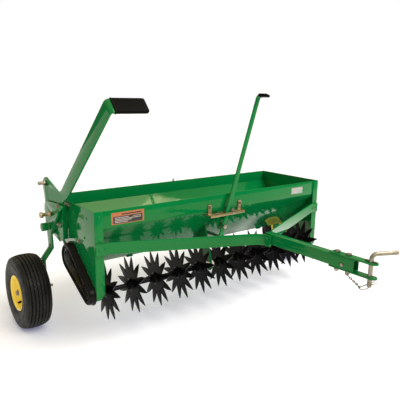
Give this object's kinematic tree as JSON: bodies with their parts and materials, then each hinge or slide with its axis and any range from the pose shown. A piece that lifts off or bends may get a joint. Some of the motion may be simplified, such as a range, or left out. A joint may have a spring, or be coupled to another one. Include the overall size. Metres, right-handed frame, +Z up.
{
  "type": "tow-behind spike aerator",
  "caption": "Towed lawn aerator: star-shaped spike wheels turn under a drop-spreader hopper, which a lift lever raises on two transport tyres behind a pin-hitch drawbar.",
  "frame": {"origin": "on the ground, under the middle of the whole machine's length and width, standing on its tyres in the transport position", "axes": "+X along the hopper, to the right as seen from the drawbar's end looking back; +Y to the rear, away from the hitch; +Z up"},
  "size_m": [1.37, 1.0464, 0.7976],
  "materials": {
    "green_paint": "glossy powder coat",
    "black_paint": "satin black paint",
    "rim_paint": "glossy yellow paint",
    "zinc": "bright zinc plate",
    "gold_zinc": "yellow-passivated zinc plate",
    "tyre_rubber": "moulded tyre rubber",
    "guard_plastic": "moulded black plastic",
    "grip_plastic": "soft black vinyl",
    "nylon": "natural nylon"
  },
  "bodies": {
    "root": {"hopper": "green_paint", "left_end_panel": "green_paint", "right_end_panel": "green_paint", "left_brace": "green_paint", "right_brace": "green_paint", "drawbar": "green_paint", "upper_hitch_plate": "green_paint", "lower_hitch_plate": "green_paint", "rear_hitch_bolt": "zinc", "front_hitch_bolt": "zinc", "brace_bolt": "green_paint", "centre_hanger": "green_paint", "hanger_bushing": "nylon", "left_axle_bushing": "nylon", "right_axle_bushing": "nylon", "left_agitator_bushing": "nylon", "right_agitator_bushing": "nylon", "drive_chain": "zinc", "chain_guard": "guard_plastic", "left_lift_bracket": "green_paint", "right_lift_bracket": "green_paint", "flow_bracket": "gold_zinc", "lever_pivot_plate": "green_paint", "lever_pivot_bolt": "zinc"},
    "lift": {"lift_shaft": "green_paint", "lift_lever": "green_paint", "lever_grip": "grip_plastic", "left_wheel_arm": "green_paint", "right_wheel_arm": "green_paint", "lever_tip_bolt": "zinc", "left_wheel_bolt": "zinc", "right_wheel_bolt": "zinc"},
    "lock_pin": {"lock_pin": "gold_zinc"},
    "left_wheel": {"left_tyre": "tyre_rubber", "left_rim": "rim_paint"},
    "right_wheel": {"right_tyre": "tyre_rubber", "right_rim": "rim_paint"},
    "left_gang": {"left_star_axle": "black_paint", "axle_sprocket": "zinc", "star_wheel_1": "black_paint", "star_wheel_2": "black_paint", "star_wheel_3": "black_paint", "star_wheel_4": "black_paint", "star_wheel_5": "black_paint"},
    "right_gang": {"right_star_axle": "black_paint", "star_wheel_6": "black_paint", "star_wheel_7": "black_paint", "star_wheel_8": "black_paint", "star_wheel_9": "black_paint", "star_wheel_10": "black_paint", "star_wheel_11": "black_paint"},
    "agitator": {"agitator": "zinc", "agitator_sprocket": "zinc"},
    "flow_lever": {"flow_lever": "green_paint", "flow_lever_grip": "grip_plastic"},
    "shutter": {"shutter": "zinc"},
    "stop_screw": {"stop_screw": "zinc"},
    "hitch_pin": {"hitch_pin": "zinc", "hairpin_clip": "zinc"}
  },
  "joints": [
    {"name": "lift_turn", "type": "hinge", "parent": "root", "child": "lift", "pos_m": [0, 0.41416, 0.335], "axis": [-1, 0, 0], "range_deg": [0, 58]},
    {"name": "lock_pin_pull", "type": "slide", "parent": "lift", "child": "lock_pin", "axis": [-1, 0, 0], "range_m": [0, 0.012]},
    {"name": "left_wheel_spin", "type": "hinge", "parent": "lift", "child": "left_wheel", "pos_m": [-0.64, 0.39616, 0.127], "axis": [1, 0, 0], "continuous": true},
    {"name": "right_wheel_spin", "type": "hinge", "parent": "lift", "child": "right_wheel", "pos_m": [0.64, 0.39616, 0.127], "axis": [1, 0, 0], "continuous": true},
    {"name": "left_gang_spin", "type": "hinge", "parent": "root", "child": "left_gang", "pos_m": [0, 0.15016, 0.168], "axis": [1, 0, 0], "continuous": true},
    {"name": "right_gang_spin", "type": "hinge", "parent": "root", "child": "right_gang", "pos_m": [0, 0.15016, 0.168], "axis": [1, 0, 0], "continuous": true},
    {"name": "agitator_spin", "type": "hinge", "parent": "root", "child": "agitator", "pos_m": [0, 0.29016, 0.255], "axis": [1, 0, 0], "continuous": true},
    {"name": "flow_lever_swing", "type": "hinge", "parent": "root", "child": "flow_lever", "pos_m": [-0.022, 0.10216, 0.323], "axis": [0, 1, 0], "range_deg": [-36.4, 0]},
    {"name": "shutter_slide", "type": "slide", "parent": "root", "child": "shutter", "axis": [1, 0, 0], "range_m": [0, 0.0257]},
    {"name": "stop_screw_slide", "type": "slide", "parent": "root", "child": "stop_screw", "axis": [1, 0, 0], "range_m": [0, 0.036]},
    {"name": "hitch_pin_lift", "type": "slide", "parent": "root", "child": "hitch_pin", "axis": [0, 0, 1], "range_m": [0, 0.0135]}
  ],
  "couplings": [
    {"joint": "agitator_spin", "follows": "left_gang_spin", "ratio": 0.6},
    {"joint": "shutter_slide", "follows": "flow_lever_swing", "m_per_rad": -0.0404}
  ]
}
